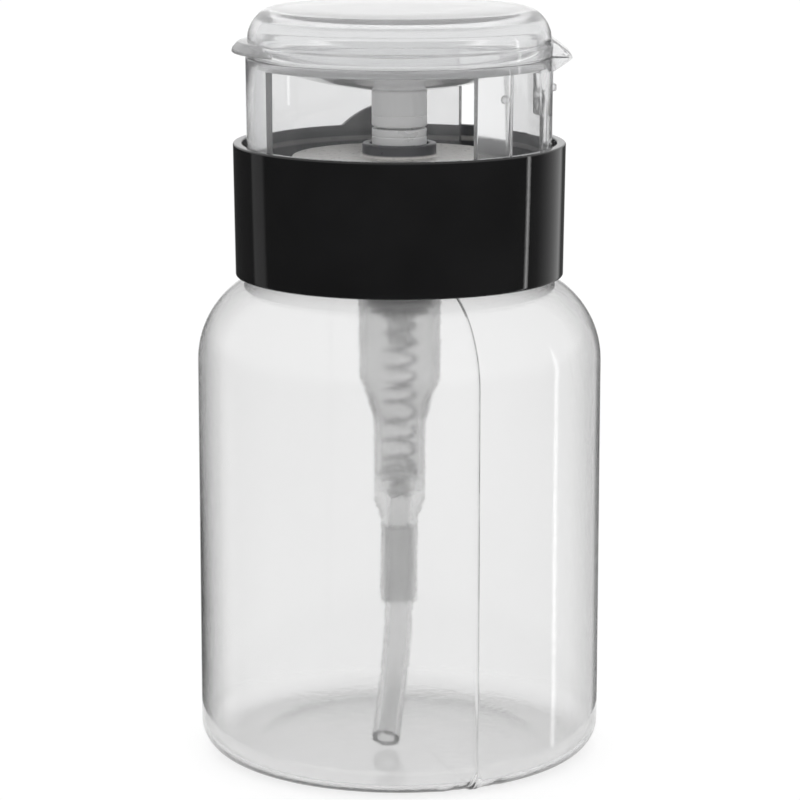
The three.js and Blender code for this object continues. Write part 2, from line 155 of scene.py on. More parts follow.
def turn_angles(segments, dense_deg=(), spread=1.6, extra=8):
    """Angles round the axis, with more of them near each dense angle."""
    angles = {round(360 * i / segments, 5) for i in range(segments)}
    for centre in dense_deg:
        for k in range(-extra, extra + 1):
            angles.add(round((centre + spread * k / extra) % 360, 5))
    return [math.radians(a) for a in sorted(angles)]


def lathe_mesh(name, profile, segments=BIG, shape=None, dense_deg=()):
    """A turned body. The profile is a closed loop of (radius, z), or runs from axis to axis."""
    bm = bmesh.new()
    angles = turn_angles(segments, dense_deg)
    rings = []
    for i, (r, z) in enumerate(profile):
        if r < 1e-6:
            rings.append([bm.verts.new((0, 0, z * MM))])
            continue
        ring = []
        for a in angles:
            rr, zz = shape(i, r, z, a) if shape else (r, z)
            ring.append(bm.verts.new((rr * math.cos(a) * MM, rr * math.sin(a) * MM, zz * MM)))
        rings.append(ring)
    open_ended = profile[0][0] < 1e-6 and profile[-1][0] < 1e-6
    pairs = len(rings) - 1 if open_ended else len(rings)
    count = len(angles)
    for i in range(pairs):
        a, b = rings[i], rings[(i + 1) % len(rings)]
        for k in range(count):
            n = (k + 1) % count
            corners = []
            for v in (a[k % len(a)], a[n % len(a)], b[n % len(b)], b[k % len(b)]):
                if v not in corners:
                    corners.append(v)
            if len(corners) > 2:
                bm.faces.new(corners)
    return bmesh_to_mesh(name, bm)


def lathe(name, profile, segments=BIG, sharp=40, **options):
    return new_object(name, lathe_mesh(name, profile, segments, **options), sharp)


def prism_mesh(name, outline, low, high, axis="Z"):
    """An outline extruded from low to high along an axis, in millimetres."""
    bm = bmesh.new()

    def place(u, v, w):
        spot = {"X": (w, u, v), "Y": (u, w, v), "Z": (u, v, w)}[axis]
        return bm.verts.new(tuple(c * MM for c in spot))

    bottom = [place(u, v, low) for u, v in outline]
    top = [place(u, v, high) for u, v in outline]
    bm.faces.new(bottom)
    bm.faces.new(top)
    for i in range(len(outline)):
        n = (i + 1) % len(outline)
        bm.faces.new((bottom[i], bottom[n], top[n], top[i]))
    return bmesh_to_mesh(name, bm)


def box_mesh(name, lo, hi, turn_deg=0):
    outline = [(lo[0], lo[1]), (hi[0], lo[1]), (hi[0], hi[1]), (lo[0], hi[1])]
    mesh = prism_mesh(name, outline, lo[2], hi[2])
    mesh.transform(Matrix.Rotation(math.radians(turn_deg), 4, "Z"))
    return mesh


def modified(item, kind, **settings):
    """Applies one modifier to an object's mesh."""
    modifier = item.modifiers.new(kind, kind)
    for key, value in settings.items():
        setattr(modifier, key, value)
    bpy.context.view_layer.update()
    graph = bpy.context.evaluated_depsgraph_get()
    mesh = bpy.data.meshes.new_from_object(item.evaluated_get(graph))
    item.modifiers.clear()
    old = item.data
    item.data = mesh
    bpy.data.meshes.remove(old)
    return item


def combine(item, mesh, operation):
    """Cuts, joins or intersects an object with a tool mesh, which is used up."""
    tool = bpy.data.objects.new("tool", mesh)
    bpy.context.scene.collection.objects.link(tool)
    modified(item, "BOOLEAN", operation=operation, object=tool, solver="EXACT")
    bpy.data.objects.remove(tool)
    bpy.data.meshes.remove(mesh)
    return item


def soften(item, width, sharp=40, segments=2):
    """Small rounds on the sharp edges, then smooth shading."""
    modified(item, "BEVEL", width=width * MM, segments=segments, limit_method="ANGLE",
             angle_limit=math.radians(sharp), harden_normals=False, use_clamp_overlap=True)
    item.data.shade_smooth()
    item.data.set_sharp_from_angle(angle=math.radians(sharp))
    return item


def sweep_mesh(name, path, radius, sides=12, closed_ends=True):
    """A round bar along points in millimetres. The radius may be a function of the share run."""
    bm = bmesh.new()
    rings = []
    side = Vector((1, 0, 0))
    for i, point in enumerate(path):
        ahead = Vector(path[min(i + 1, len(path) - 1)]) - Vector(path[max(i - 1, 0)])
        ahead.normalize()
        side = (side - ahead * side.dot(ahead)).normalized()
        up = ahead.cross(side)
        size = radius(i / (len(path) - 1)) if callable(radius) else radius
        ring = []
        for k in range(sides):
            a = 2 * math.pi * k / sides
            spot = Vector(point) + (side * math.cos(a) + up * math.sin(a)) * size
            ring.append(bm.verts.new(spot * MM))
        rings.append(ring)
    for a, b in zip(rings, rings[1:]):
        for k in range(sides):
            n = (k + 1) % sides
            bm.faces.new((a[k], a[n], b[n], b[k]))
    if closed_ends:
        bm.faces.new(rings[0])
        bm.faces.new(rings[-1])
    return bmesh_to_mesh(name, bm)


def helix(radius, start_z, end_z, turns, per_turn=36, start_deg=0.0):
    steps = int(turns * per_turn)
    points = []
    for i in range(steps + 1):
        t = i / steps
        a = math.radians(start_deg) + 2 * math.pi * turns * t
        points.append((radius * math.cos(a), radius * math.sin(a), start_z + (end_z - start_z) * t))
    return points


def taper(share):
    """Fades in and out at the two ends of a thread bead."""
    return max(0.12, min(1.0, share * 12, (1 - share) * 12))


def joined(name, meshes, sharp=40):
    """One object from several closed meshes that touch or cross each other."""
    bm = bmesh.new()
    for mesh in meshes:
        bm.from_mesh(mesh)
        bpy.data.meshes.remove(mesh)
    mesh = bpy.data.meshes.new(name)
    bm.to_mesh(mesh)
    bm.free()
    return new_object(name, mesh, sharp)


# ---- materials -------------------------------------------------------------------------------
class Graph:
    """Short calls for building a node tree."""

    def __init__(self, name):
        self.material = bpy.data.materials.new(name)
        self.material.use_nodes = True
        self.tree = self.material.node_tree
        self.shader = self.tree.nodes["Principled BSDF"]
        self.place = self.node("ShaderNodeTexCoord").outputs["Object"]

    def node(self, kind, **settings):
        made = self.tree.nodes.new(kind)
        for key, value in settings.items():
            setattr(made, key, value)
        return made

    def link(self, source, target):
        self.tree.links.new(source, target)

    def stretched(self, scale):
        mapping = self.node("ShaderNodeMapping")
        mapping.inputs["Scale"].default_value = scale
        self.link(self.place, mapping.inputs["Vector"])
        return mapping.outputs["Vector"]

    def noise(self, scale, detail=3.0, rough=0.5, stretch=None):
        made = self.node("ShaderNodeTexNoise")
        made.inputs["Scale"].default_value = scale
        made.inputs["Detail"].default_value = detail
        made.inputs["Roughness"].default_value = rough
        self.link(self.stretched(stretch) if stretch else self.place, made.inputs["Vector"])
        return made.outputs["Fac"]

    def remap(self, value, low, high, to_low, to_high):
        made = self.node("ShaderNodeMapRange")
        for key, number in (("From Min", low), ("From Max", high), ("To Min", to_low), ("To Max", to_high)):
            made.inputs[key].default_value = number
        self.link(value, made.inputs["Value"])
        return made.outputs["Result"]

    def ramp(self, value, stops):
        made = self.node("ShaderNodeValToRGB")
        ramp = made.color_ramp
        while len(ramp.elements) < len(stops):
            ramp.elements.new(0.5)
        for element, (at, color) in zip(ramp.elements, stops):
            element.position = at
            element.color = (*color, 1)
        self.link(value, made.inputs["Fac"])
        return made.outputs["Color"]

    def place_part(self, axis):
        """One coordinate of the point on the object, in metres."""
        split = self.node("ShaderNodeSeparateXYZ")
        self.link(self.place, split.inputs[0])
        return split.outputs[axis]

    def radius(self):
        """Distance of the point from the object's axis, in metres."""
        length = self.node("ShaderNodeVectorMath", operation="LENGTH")
        self.link(self.stretched((1, 1, 0)), length.inputs[0])
        return length.outputs["Value"]

    def tinted(self, a, b):
        """Two colours multiplied."""
        made = self.node("ShaderNodeMix", data_type="RGBA", blend_type="MULTIPLY")
        made.inputs["Factor"].default_value = 1
        self.link(a, made.inputs[6])
        self.link(b, made.inputs[7])
        return made.outputs[2]

    def times(self, a, b):
        made = self.node("ShaderNodeMath", operation="MULTIPLY")
        self.link(a, made.inputs[0])
        self.link(b, made.inputs[1])
        return made.outputs[0]

    def blend(self, share, low, high):
        """A colour between two others, by a share from 0 to 1."""
        made = self.node("ShaderNodeMix", data_type="RGBA")
        self.link(share, made.inputs["Factor"])
        for socket, value in ((6, low), (7, high)):
            if isinstance(value, tuple):
                made.inputs[socket].default_value = (*value, 1)
            else:
                self.link(value, made.inputs[socket])
        return made.outputs[2]

    def bump(self, height, strength, distance, after=None):
        made = self.node("ShaderNodeBump")
        made.inputs["Strength"].default_value = strength
        made.inputs["Distance"].default_value = distance
        self.link(height, made.inputs["Height"])
        if after is not None:
            self.link(after, made.inputs["Normal"])
        return made.outputs["Normal"]

    def absorb(self, density):
        """Greys the light by the length of its way through the plastic, per metre."""
        made = self.node("ShaderNodeVolumeAbsorption")
        made.inputs["Color"].default_value = (0, 0, 0, 1)
        made.inputs["Density"].default_value = density
        self.link(made.outputs[0], self.tree.nodes["Material Output"].inputs["Volume"])

    def set(self, **values):
        for key, value in values.items():
            self.shader.inputs[key.replace("_", " ")].default_value = value


MILKY_ROUGH, MILKY_HAZE = 0.35, 0.85


def grey(level):
    return (level, level, level)


def clear_plastic(name, tint, rough, haze, milky_within=0.0):
    """Moulded clear plastic: faint flow marks, a little haze, soft marks in the polish.

    It may be milkier within a radius, in millimetres, where the moulding is thick.
    """
    g = Graph(name)
    g.set(IOR=1.49, Transmission_Weight=1.0 - haze)
    polish = g.remap(g.noise(420, 3), 0.35, 0.7, rough * 0.7, rough * 1.5)
    if milky_within:
        radius = g.radius()
        middle = g.remap(radius, milky_within * MM, (milky_within + 1) * MM, 1, 0)
        clear = g.remap(radius, milky_within * MM, (milky_within + 1) * MM, 1 - MILKY_HAZE, 1 - haze)
        g.link(clear, g.shader.inputs["Transmission Weight"])
        milky = g.remap(g.noise(420, 3), 0.35, 0.7, MILKY_ROUGH * 0.9, MILKY_ROUGH * 1.1)
        polish = g.blend(middle, polish, milky)
    flow = g.noise(260, 3, 0.55, stretch=(1, 1, 0.08))
    cloud = g.noise(55, 2, 0.5)
    colour = g.ramp(cloud, ((0.3, tuple(c * 0.985 for c in tint)), (0.7, tint)))
    g.link(colour, g.shader.inputs["Base Color"])
    g.link(polish, g.shader.inputs["Roughness"])
    waves = g.bump(g.noise(90, 2, 0.4), 0.08, 0.0004)
    g.link(g.bump(flow, 0.03, 0.0002, waves), g.shader.inputs["Normal"])
    return g.material


def bottle_plastic():
    """Natural blow-moulded plastic: a very fine die texture, faintly cloudy, softly glossy."""
    g = Graph("natural_bottle_plastic")
    g.set(IOR=1.5, Transmission_Weight=0.955)
    cloud = g.noise(38, 3, 0.5, stretch=(1, 1, 0.45))
    colour = g.ramp(cloud, ((0.32, grey(0.972)), (0.68, grey(0.988))))
    # Painted shade: the colour is darkened along the parting lines, standing in for the dark line their ridge
    # shows by refraction. The ridge itself is real geometry.
    seam = g.node("ShaderNodeAttribute", attribute_name="seam").outputs["Fac"]
    seam_painted_shade = g.blend(seam, colour, grey(0.74))
    # Painted shade: the base colour darkens towards grazing angles, standing in for the dark outlines at the
    # bottle's sides and the shade band under the collar.
    edge = g.node("ShaderNodeLayerWeight").outputs["Facing"]
    grazing_painted_shade = g.ramp(edge, ((0.5, grey(1)), (0.68, grey(0.80)), (0.82, grey(0.54)), (1.0, grey(0.32))))
    g.link(g.tinted(seam_painted_shade, grazing_painted_shade), g.shader.inputs["Base Color"])
    g.link(g.remap(g.noise(120, 3), 0.35, 0.7, 0.035, 0.06), g.shader.inputs["Roughness"])
    grain = g.bump(g.noise(900, 3, 0.6, stretch=(1, 1, 2.2)), 0.07, 0.0002)
    g.link(g.bump(g.noise(45, 2, 0.4), 0.06, 0.0008, grain), g.shader.inputs["Normal"])
    g.absorb(40)
    return g.material


def black_plastic():
    """Black moulding: polished outside, matt inside the well and painted lighter there, with a pale band
    painted on its plateau as the reflection of the lit backdrop.
    """
    g = Graph("black_gloss_plastic")
    g.set(IOR=1.5)
    height = g.place_part("Z")
    inside = g.remap(g.radius(), 0.0237, 0.0241, 1, 0)
    # Painted reflection: a pale warm band on the hub's plateau stands in for the grazing reflection of the
    # lit backdrop.
    level = g.remap(height, (HUB_TOP - 0.5) * MM, (HUB_TOP + 0.5) * MM, 0, 1)
    band = g.ramp(level, ((0.0, grey(0)), (0.3, grey(1)), (0.7, grey(1)), (1.0, grey(0))))
    plateau_painted_reflection = g.times(g.times(inside, band), g.remap(g.noise(900, 4, 0.6), 0.2, 0.5, 0.6, 1))
    cloud = g.noise(70, 3, 0.5)
    outer = g.ramp(cloud, ((0.3, (0.007, 0.007, 0.0072)), (0.75, (0.011, 0.011, 0.0113))))
    # Painted light: the inside of the well is coloured many times lighter than the outside, standing in for
    # the veil of light that fills the well. Its matt finish is in the roughness.
    well_painted_light = g.ramp(cloud, ((0.3, (0.105, 0.107, 0.115)), (0.75, (0.135, 0.138, 0.147))))
    g.link(g.blend(plateau_painted_reflection, g.blend(inside, outer, well_painted_light), (0.72, 0.70, 0.675)), g.shader.inputs["Base Color"])
    polish = g.remap(g.noise(160, 4, 0.6), 0.35, 0.75, 0.02, 0.045)
    matt = g.remap(g.noise(600, 4, 0.6), 0.3, 0.7, 0.26, 0.36)
    g.link(g.blend(inside, polish, matt), g.shader.inputs["Roughness"])
    ripple = g.bump(g.noise(60, 2, 0.4), 0.015, 0.0004)
    g.link(g.bump(g.noise(1500, 2), 0.03, 0.00008, ripple), g.shader.inputs["Normal"])
    return g.material


def pump_plastic(name, level, through):
    """Milky pump moulding."""
    g = Graph(name)
    g.set(IOR=1.5, Transmission_Weight=through)
    cloud = g.noise(120, 3, 0.5)
    g.link(g.ramp(cloud, ((0.3, grey(level * 0.96)), (0.7, grey(level)))), g.shader.inputs["Base Color"])
    g.link(g.remap(g.noise(300, 3), 0.35, 0.7, 0.17, 0.26), g.shader.inputs["Roughness"])
    g.link(g.bump(g.noise(700, 3), 0.06, 0.0002), g.shader.inputs["Normal"])
    return g.material


def steel():
    """Drawn stainless wire and polished balls."""
    g = Graph("stainless_steel")
    g.set(Metallic=1.0)
    g.link(g.ramp(g.noise(300, 3), ((0.3, grey(0.5)), (0.7, grey(0.62)))), g.shader.inputs["Base Color"])
    g.link(g.remap(g.noise(900, 3), 0.3, 0.7, 0.16, 0.3), g.shader.inputs["Roughness"])
    g.link(g.bump(g.noise(2500, 2), 0.08, 0.0001), g.shader.inputs["Normal"])
    return g.material


BOTTLE_LOOK = bottle_plastic()
BLACK_LOOK = black_plastic()
SKIRT_LOOK = clear_plastic("clear_skirt_plastic", (0.930, 0.933, 0.937), 0.05, 0.14)
DISH_LOOK = clear_plastic("clear_dish_plastic", (0.975, 0.978, 0.982), 0.10, 0.18, 4.6)
LID_LOOK = clear_plastic("clear_lid_plastic", (0.975, 0.978, 0.982), 0.05, 0.16)
STEM_LOOK = clear_plastic("clear_stem_plastic", (0.975, 0.978, 0.982), MILKY_ROUGH, MILKY_HAZE)
PUMP_LOOK = pump_plastic("milky_pump_plastic", 0.94, 0.88)
TUBE_LOOK = pump_plastic("milky_tube_plastic", 0.97, 0.9)
SEAL_LOOK = pump_plastic("soft_seal_plastic", 0.85, 0.0)
STEEL_LOOK = steel()


def piece(item, body, slot, look, *nodes):
    """Finishes a piece: its material, the body that carries it, and the CAD nodes it stands for."""
    item.data.materials.clear()
    item.data.materials.append(look)
    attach(item, body)
    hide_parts(*nodes)
    return item


# ---- bottle ----------------------------------------------------------------------------------
def seam_share(angle):
    """How near this angle is to one of the mould's parting lines, from 0 to 1."""
    share = 0.0
    for centre, strength in zip(SEAM_DEG, (1.0, 0.3)):
        off = (math.degrees(angle) - centre + 180) % 360 - 180
        share += strength * math.exp(-((off / 0.33) ** 2))
    return share


def scar(angle, z):
    """Unevenness of the heel round the front parting line, where the parison was pinched off."""
    off = (math.degrees(angle) - SEAM_DEG[0] + 180) % 360 - 180
    low = max(0.0, 1 - z / HEEL)
    ripple = SCAR_COARSE * math.sin(0.55 * off + 0.6) + SCAR_FINE * math.sin(1.3 * off)
    return low * math.exp(-((off / SCAR_WIDTH_DEG) ** 2)) * ripple


def mark_seam(mesh):
    """Stores how near each point of the outer skin is to a parting line, for the shade painted along the
    seams.
    """
    store = mesh.attributes.new("seam", "FLOAT", "POINT")
    middle = Vector((0, 0, 0.045))
    for vertex in mesh.vertices:
        outer = vertex.normal.dot(vertex.co - middle) > 0
        angle = math.atan2(vertex.co.y, vertex.co.x)
        store.data[vertex.index].value = seam_share(angle) if outer else 0.0


def bottle_profile():
    """Outer skin from the axis out and up to the mouth, then the inner skin back down."""
    shoulder_r = BOTTLE_R - SHOULDER
    top = SHOULDER_Z + SHOULDER
    steps = [0, 0.2, 0.4, 0.6, 0.75, 0.88, 0.95, 1]
    outer = [(RING_INNER * t, PUSH_UP * (1 - t * t)) for t in steps]
    outer += arc(BOTTLE_R - HEEL, HEEL, HEEL, HEEL, -90, 0, 12)
    outer += [(BOTTLE_R, z) for z in (12, 24, 36, 48)]
    outer += arc(shoulder_r, SHOULDER_Z, SHOULDER, SHOULDER, 0, 88, 24)
    outer += arc(NECK_R + 1.2, top + 1.2, 1.2, 1.2, 268, 180, 5)
    outer += [(NECK_R, NECK_TOP - 0.4)]
    outer += arc(NECK_R - 0.4, NECK_TOP - 0.4, 0.4, 0.4, 0, 90, 4)
    inner = arc(NECK_BORE + 0.4, NECK_TOP - 0.4, 0.4, 0.4, 90, 180, 4)
    inner += [(NECK_BORE, top - WALL + 1.5)]
    inner += arc(shoulder_r, SHOULDER_Z, SHOULDER - WALL, SHOULDER - WALL, 90, 0, 24)
    inner += [(BOTTLE_R - WALL, z) for z in (48, 36, 24, 12)]
    inner += arc(BOTTLE_R - HEEL, HEEL, HEEL - WALL, HEEL - WALL, 0, -90, 12)
    inner += [(r, z + WALL) for r, z in reversed(outer[:8])]
    return outer, inner


def make_bottle():
    outer, inner = bottle_profile()

    def shape(i, r, z, angle):
        if i < len(outer):
            proud = r - SKIN_INSET + SKIN_INSET * seam_share(angle) + scar(angle, z)
            return (proud, z) if r > 20 else (r, z)
        wave = 0.10 * math.sin(2 * angle + 0.7) * math.sin(z * 0.06) + 0.06 * math.sin(3 * angle + z * 0.09)
        return (r + wave if 20 < r else r, z)

    dense = [a % 360 for a in SEAM_DEG]
    body = lathe_mesh("bottle_body", outer + inner, BIG, shape, dense)
    bead = sweep_mesh("bead", helix(13.55, 78.4, 82.4, 1.25), lambda t: 0.72 * taper(t), 10)
    item = joined("bottle_body", [body, bead])
    mark_seam(item.data)
    return item


# ---- collar ----------------------------------------------------------------------------------
def lug_height(angle):
    """How far the rim is raised at this angle, in millimetres."""
    x = 24.5 * math.cos(angle)
    if math.sin(angle) < 0 or x > LUG_END_X or abs(x) > LUG_R:
        return 0.0
    return max(0.0, LUG_Z + math.sqrt(LUG_R ** 2 - x * x) - COLLAR_TOP)


def make_collar():
    outline = [
        (24.0, COLLAR_BOTTOM), (RIM_R - 0.25, COLLAR_BOTTOM), (RIM_R, COLLAR_TOP), (RIM_BORE, COLLAR_TOP),
        (RIM_BORE - 0.05, MOAT_Z), (HUB_R, MOAT_Z), (HUB_R, HUB_TOP), (5.6, HUB_TOP), (5.6, 94.1),
        (4.5, 94.1), (4.5, 90.6), (14.6, 90.6), (14.6, 76.0), (HUB_R, 76.0), (HUB_R, WEB_Z),
        (RIM_BORE - 0.1, WEB_Z), (RIM_BORE - 0.1, COLLAR_BOTTOM + 0.3),
    ]
    radii = [0.2, 0.9, 0.32, 0.28, 0.5, 0.5, 0.35, 0.4, 0.3, 0.3, 0.2, 0.3, 0.3, 0.3, 0.4, 0.4, 0.2]
    profile = rounded(outline, radii, 5)

    def shape(_, r, z, angle):
        if r > 23.7 and z > COLLAR_TOP - 0.7:
            return r, z + lug_height(angle)
        return r, z

    end = math.degrees(math.acos(LUG_END_X / 24.5))
    start = math.degrees(math.acos(-math.sqrt(LUG_R ** 2 - (COLLAR_TOP - LUG_Z) ** 2) / 24.5))
    shell = lathe_mesh("collar_shell", profile, BIG, shape, (end, start))
    bead = sweep_mesh("bead", helix(14.55, 76.8, 80.8, 1.25), lambda t: 0.72 * taper(t), 10)
    return joined("collar_shell", [shell, bead])


# ---- pump ------------------------------------------------------------------------------------
def make_housing():
    return lathe("pump_barrel", rounded([
        (7.6, 90.3), (13.0, 90.3), (13.0, 88.9), (8.8, 88.9), (8.8, 85.6), (6.4, 84.2), (6.25, 57.8),
        (5.25, 55.6), (3.95, 51.0), (3.9, 38.6), (2.8, 36.0), (2.8, 22.9), (2.2, 22.9), (2.2, 34.7),
        (1.3, 34.7), (1.3, 39.6), (2.35, 40.4), (2.35, 42.2), (1.45, 42.6), (1.45, 42.9), (3.05, 42.9),
        (3.05, 51.6), (5.4, 56.9), (5.4, 86.6), (7.6, 86.6),
    ], 0.25, 3), MID)


def make_spring():
    low, high = SPRING_FOOT + SPRING_END, SPRING_HEAD - SPRING_END
    foot = helix(SPRING_R, SPRING_FOOT, low, 1.0, 30, 0)
    coils = helix(SPRING_R, low, high, SPRING_OPEN_TURNS, 30, 0)
    head = helix(SPRING_R, high, SPRING_HEAD, 1.0, 30, 180)
    path = foot[:-1] + coils[:-1] + head
    return new_object("spring_wire", sweep_mesh("spring_wire", path, SPRING_WIRE_R, 8))


def dip_path():
    points = []
    for i in range(41):
        z = TUBE_TOP + (TUBE_END - TUBE_TOP) * i / 40
        bend = max(0.0, (TUBE_STRAIGHT_TO - z) / (TUBE_STRAIGHT_TO - TUBE_END)) ** 1.6
        points.append((TUBE_END_X * bend, TUBE_END_Y * bend, z))
    return points


def make_tube():
    item = new_object("dip_straw", sweep_mesh("dip_straw", dip_path(), TUBE_R, 32))
    longer = [(0, 0, 36.0)] + dip_path() + [(-2.25, -13.9, 2.6)]
    combine(item, sweep_mesh("bore", longer, TUBE_BORE, 24), "DIFFERENCE")
    item.data.shade_smooth()
    item.data.set_sharp_from_angle(angle=math.radians(40))
    return item


def make_pump():
    piece(make_housing(), "pump", "pump_plastic", PUMP_LOOK, "pump_housing")
    small = (
        ("retaining_cap", "housing_cap", "pump", "pump_plastic", PUMP_LOOK, MID, [
            (5.6, 86.9), (7.3, 86.9), (7.3, 90.2), (4.5, 90.2), (4.5, 88.0), (5.6, 88.0)], 0.2),
        ("wiper_seal", "stem_wiper", "pump", "seal", SEAL_LOOK, MID, [
            (4.22, 86.95), (5.3, 86.95), (5.3, 87.7), (4.22, 87.7)], 0.12),
        ("gasket_ring", "neck_gasket", "pump", "seal", SEAL_LOOK, MID, [
            (11.4, 87.3), (13.1, 87.3), (13.1, 88.6), (11.4, 88.6)], 0.2),
        ("piston_spigot", "piston_post", "plunger", "pump_plastic", PUMP_LOOK, SMALL, [
            (1.1, 63.5), (1.9, 63.5), (1.9, 68.9), (4.4, 68.9), (4.4, 69.6), (1.9, 69.6), (1.9, 74.0),
            (1.1, 74.0)], 0.15),
        ("piston_seal", "piston", "plunger", "seal", SEAL_LOOK, MID, [
            (3.08, 70.1), (4.73, 70.1), (5.33, 70.3), (5.33, 71.4), (4.73, 71.9), (4.73, 73.2),
            (5.33, 74.2), (5.33, 75.2), (4.73, 74.7), (3.08, 74.7)], 0.15),
        ("hollow_stem", "stem", "plunger", "clear_plastic", STEM_LOOK, MID, [
            (2.15, 69.9), (3.0, 69.9), (3.0, 75.5), (4.15, 75.5), (4.15, 95.0), (4.06, 95.15), (4.15, 95.3),
            (4.15, 96.3), (2.85, 96.3),
            (2.85, 101.4), (1.9, 101.4), (1.9, 98.9), (1.1, 98.2), (1.1, 97.5), (2.9, 95.3),
            (2.9, 76.5), (2.15, 75.5)], 0.18),
    )
    for name, node, body, slot, look, segments, outline, radius in small:
        piece(lathe(name, rounded(outline, radius, 3), segments), body, slot, look, node)
    spring = piece(make_spring(), "pump", "steel", STEEL_LOOK, "return_spring")
    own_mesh(spring)
    piece(make_tube(), "pump", "pump_plastic", TUBE_LOOK, "dip_tube")
    for name, node, body, radius, z in (
        ("foot_ball", "inlet_ball", "inlet_valve", 1.6, 40.7),
        ("head_ball", "outlet_ball", "outlet_valve", 1.5, 99.3),
    ):
        profile = arc(0, z, radius, radius, -90, 90, 24)
        profile[0] = (0, z - radius)
        profile[-1] = (0, z + radius)
        piece(lathe(name, profile, 32), body, "steel", STEEL_LOOK, node)


# ---- push head -------------------------------------------------------------------------------
def bump_mesh(turn_deg):
    """A small round-topped bump standing out from the skirt."""
    profile = [(0.0, BUMP_ROOT), (BUMP_R, BUMP_ROOT), (BUMP_R, SKIRT_R)]
    profile += arc(0.3, SKIRT_R, 0.3, 0.5, 10, 80, 5)
    profile += [(0.0, BUMP_TIP)]
    mesh = lathe_mesh("bump", profile, 24)
    mesh.transform(Matrix.Rotation(math.radians(90), 4, "Y"))
    mesh.transform(Matrix.Translation((0, 0, BUMP_Z * MM)))
    mesh.transform(Matrix.Rotation(math.radians(turn_deg), 4, "Z"))
    return mesh


def rib_mesh():
    """The band inside the skirt under the hinge, whose lower edge falls towards the hinge."""
    bm = bmesh.new()
    sections = []
    for i in range(RIB_STEPS + 1):
        turn = RIB_FROM_DEG + RIB_SPAN_DEG * i / RIB_STEPS
        low = RIB_EDGE_Z - RIB_SLOPE * (22 * math.cos(math.radians(turn)) - RIB_EDGE_X)
        section = (
            (RIB_INNER, low + 0.25), (RIB_INNER + 0.25, low), (RIB_OUTER, low), (RIB_OUTER, RIB_TOP),
            (RIB_INNER, RIB_TOP),
        )
        ring = []
        for r, z in section:
            a = math.radians(turn)
            ring.append(bm.verts.new((r * math.cos(a) * MM, r * math.sin(a) * MM, z * MM)))
        sections.append(ring)
    for a, b in zip(sections, sections[1:]):
        for k in range(5):
            n = (k + 1) % 5
            bm.faces.new((a[k], a[n], b[n], b[k]))
    bm.faces.new(sections[0])
    bm.faces.new(sections[-1])
    return bmesh_to_mesh("rib", bm)


def make_skirt():
    outline = [
        (SKIRT_BORE, SKIRT_BOTTOM), (SKIRT_R - 0.14, SKIRT_BOTTOM), (SKIRT_R, SKIRT_TOP - 1.3),
        (SKIRT_R, SKIRT_TOP), (SKIRT_BORE, SKIRT_TOP),
    ]
    item = lathe("skirt_sleeve", rounded(outline, [0.25, 0.25, 0, 0.25, 0.1], 3), BIG)
    for start, end in WINDOWS_DEG:
        outline = []
        for r, turn in ((11, start), (44, start), (44, end), (11, end)):
            a = math.radians(turn)
            outline.append((r * math.cos(a), r * math.sin(a)))
        combine(item, prism_mesh("gap", outline, SKIRT_BOTTOM - 1, SKIRT_BAND), "DIFFERENCE")
    combine(item, rib_mesh(), "UNION")
    soften(item, 0.16)
    sleeve = item.data.copy()
    bpy.data.objects.remove(item)
    return joined("skirt_sleeve", [sleeve, *[bump_mesh(turn) for turn in BUMP_DEG]])


def make_dish():
    outline = [
        (0.9, 103.3), (5.0, 103.3), (9.0, 103.85), (13.0, 104.75), (17.5, 106.0), (20.6, 106.75),
        (20.95, 107.15), (21.85, 107.15), (21.85, 105.7), (20.6, 105.7), (17.0, 104.75), (13.0, 103.6),
        (8.0, 102.7), (4.19, 102.2), (4.19, 98.45), (4.1, 98.35), (4.19, 98.25), (4.19, 96.6), (3.0, 96.6),
        (3.0, 102.4), (0.9, 102.4),
    ]
    radii = [
        0.2, 1.5, 2, 2, 2, 0.4, 0.3, 0.2, 0.2, 0.6, 2, 2, 1.5, 0.5, 0.05, 0.05, 0.05, 0.3, 0.2, 0.3, 0.2,
    ]
    return lathe("dish_bowl", rounded(outline, radii, 4), BIG)


def make_cover():
    item = lathe("dish_grate", rounded([(0.0, 103.6), (4.2, 103.6), (4.2, 104.4), (0.0, 104.4)],
                                       [0, 0.15, 0.25, 0], 3), MID)
    for i in range(4):
        slot = box_mesh("slot", (1.2, -0.35, 103), (3.3, 0.35, 105), 90 * (i + 0.5))
        combine(item, slot, "DIFFERENCE")
    return soften(item, 0.06)


def make_lid():
    corner = [(20.0, 114.3), (20.9, 113.85), (21.65, 113.1), (22.15, 112.45), (22.5, 111.75), (22.78, 111.0),
              (22.9, 110.2)]
    outline = [(0.0, 114.3), (10.0, 114.3), *corner, (22.9, 109.4), (23.3, 109.1), (23.3, 107.5),
               (21.75, 107.5), (21.75, 110.3), (21.5, 111.3), (20.9, 112.3), (19.9, 112.95), (18.8, 113.15),
               (10.0, 113.15), (0.0, 113.15)]
    radii = [0, 0, 2.5, 0.8, 0.8, 0.8, 0.8, 0.8, 0.8, 0.3, 0.25, 0.25, 0.25, 0.8, 0.8, 0.8, 0.8, 0.8, 0, 0]
    item = lathe("lid_cap", rounded(outline, radii, 4), BIG)
    combine(item, thumb_mesh(), "UNION")
    return soften(item, 0.12, 35)


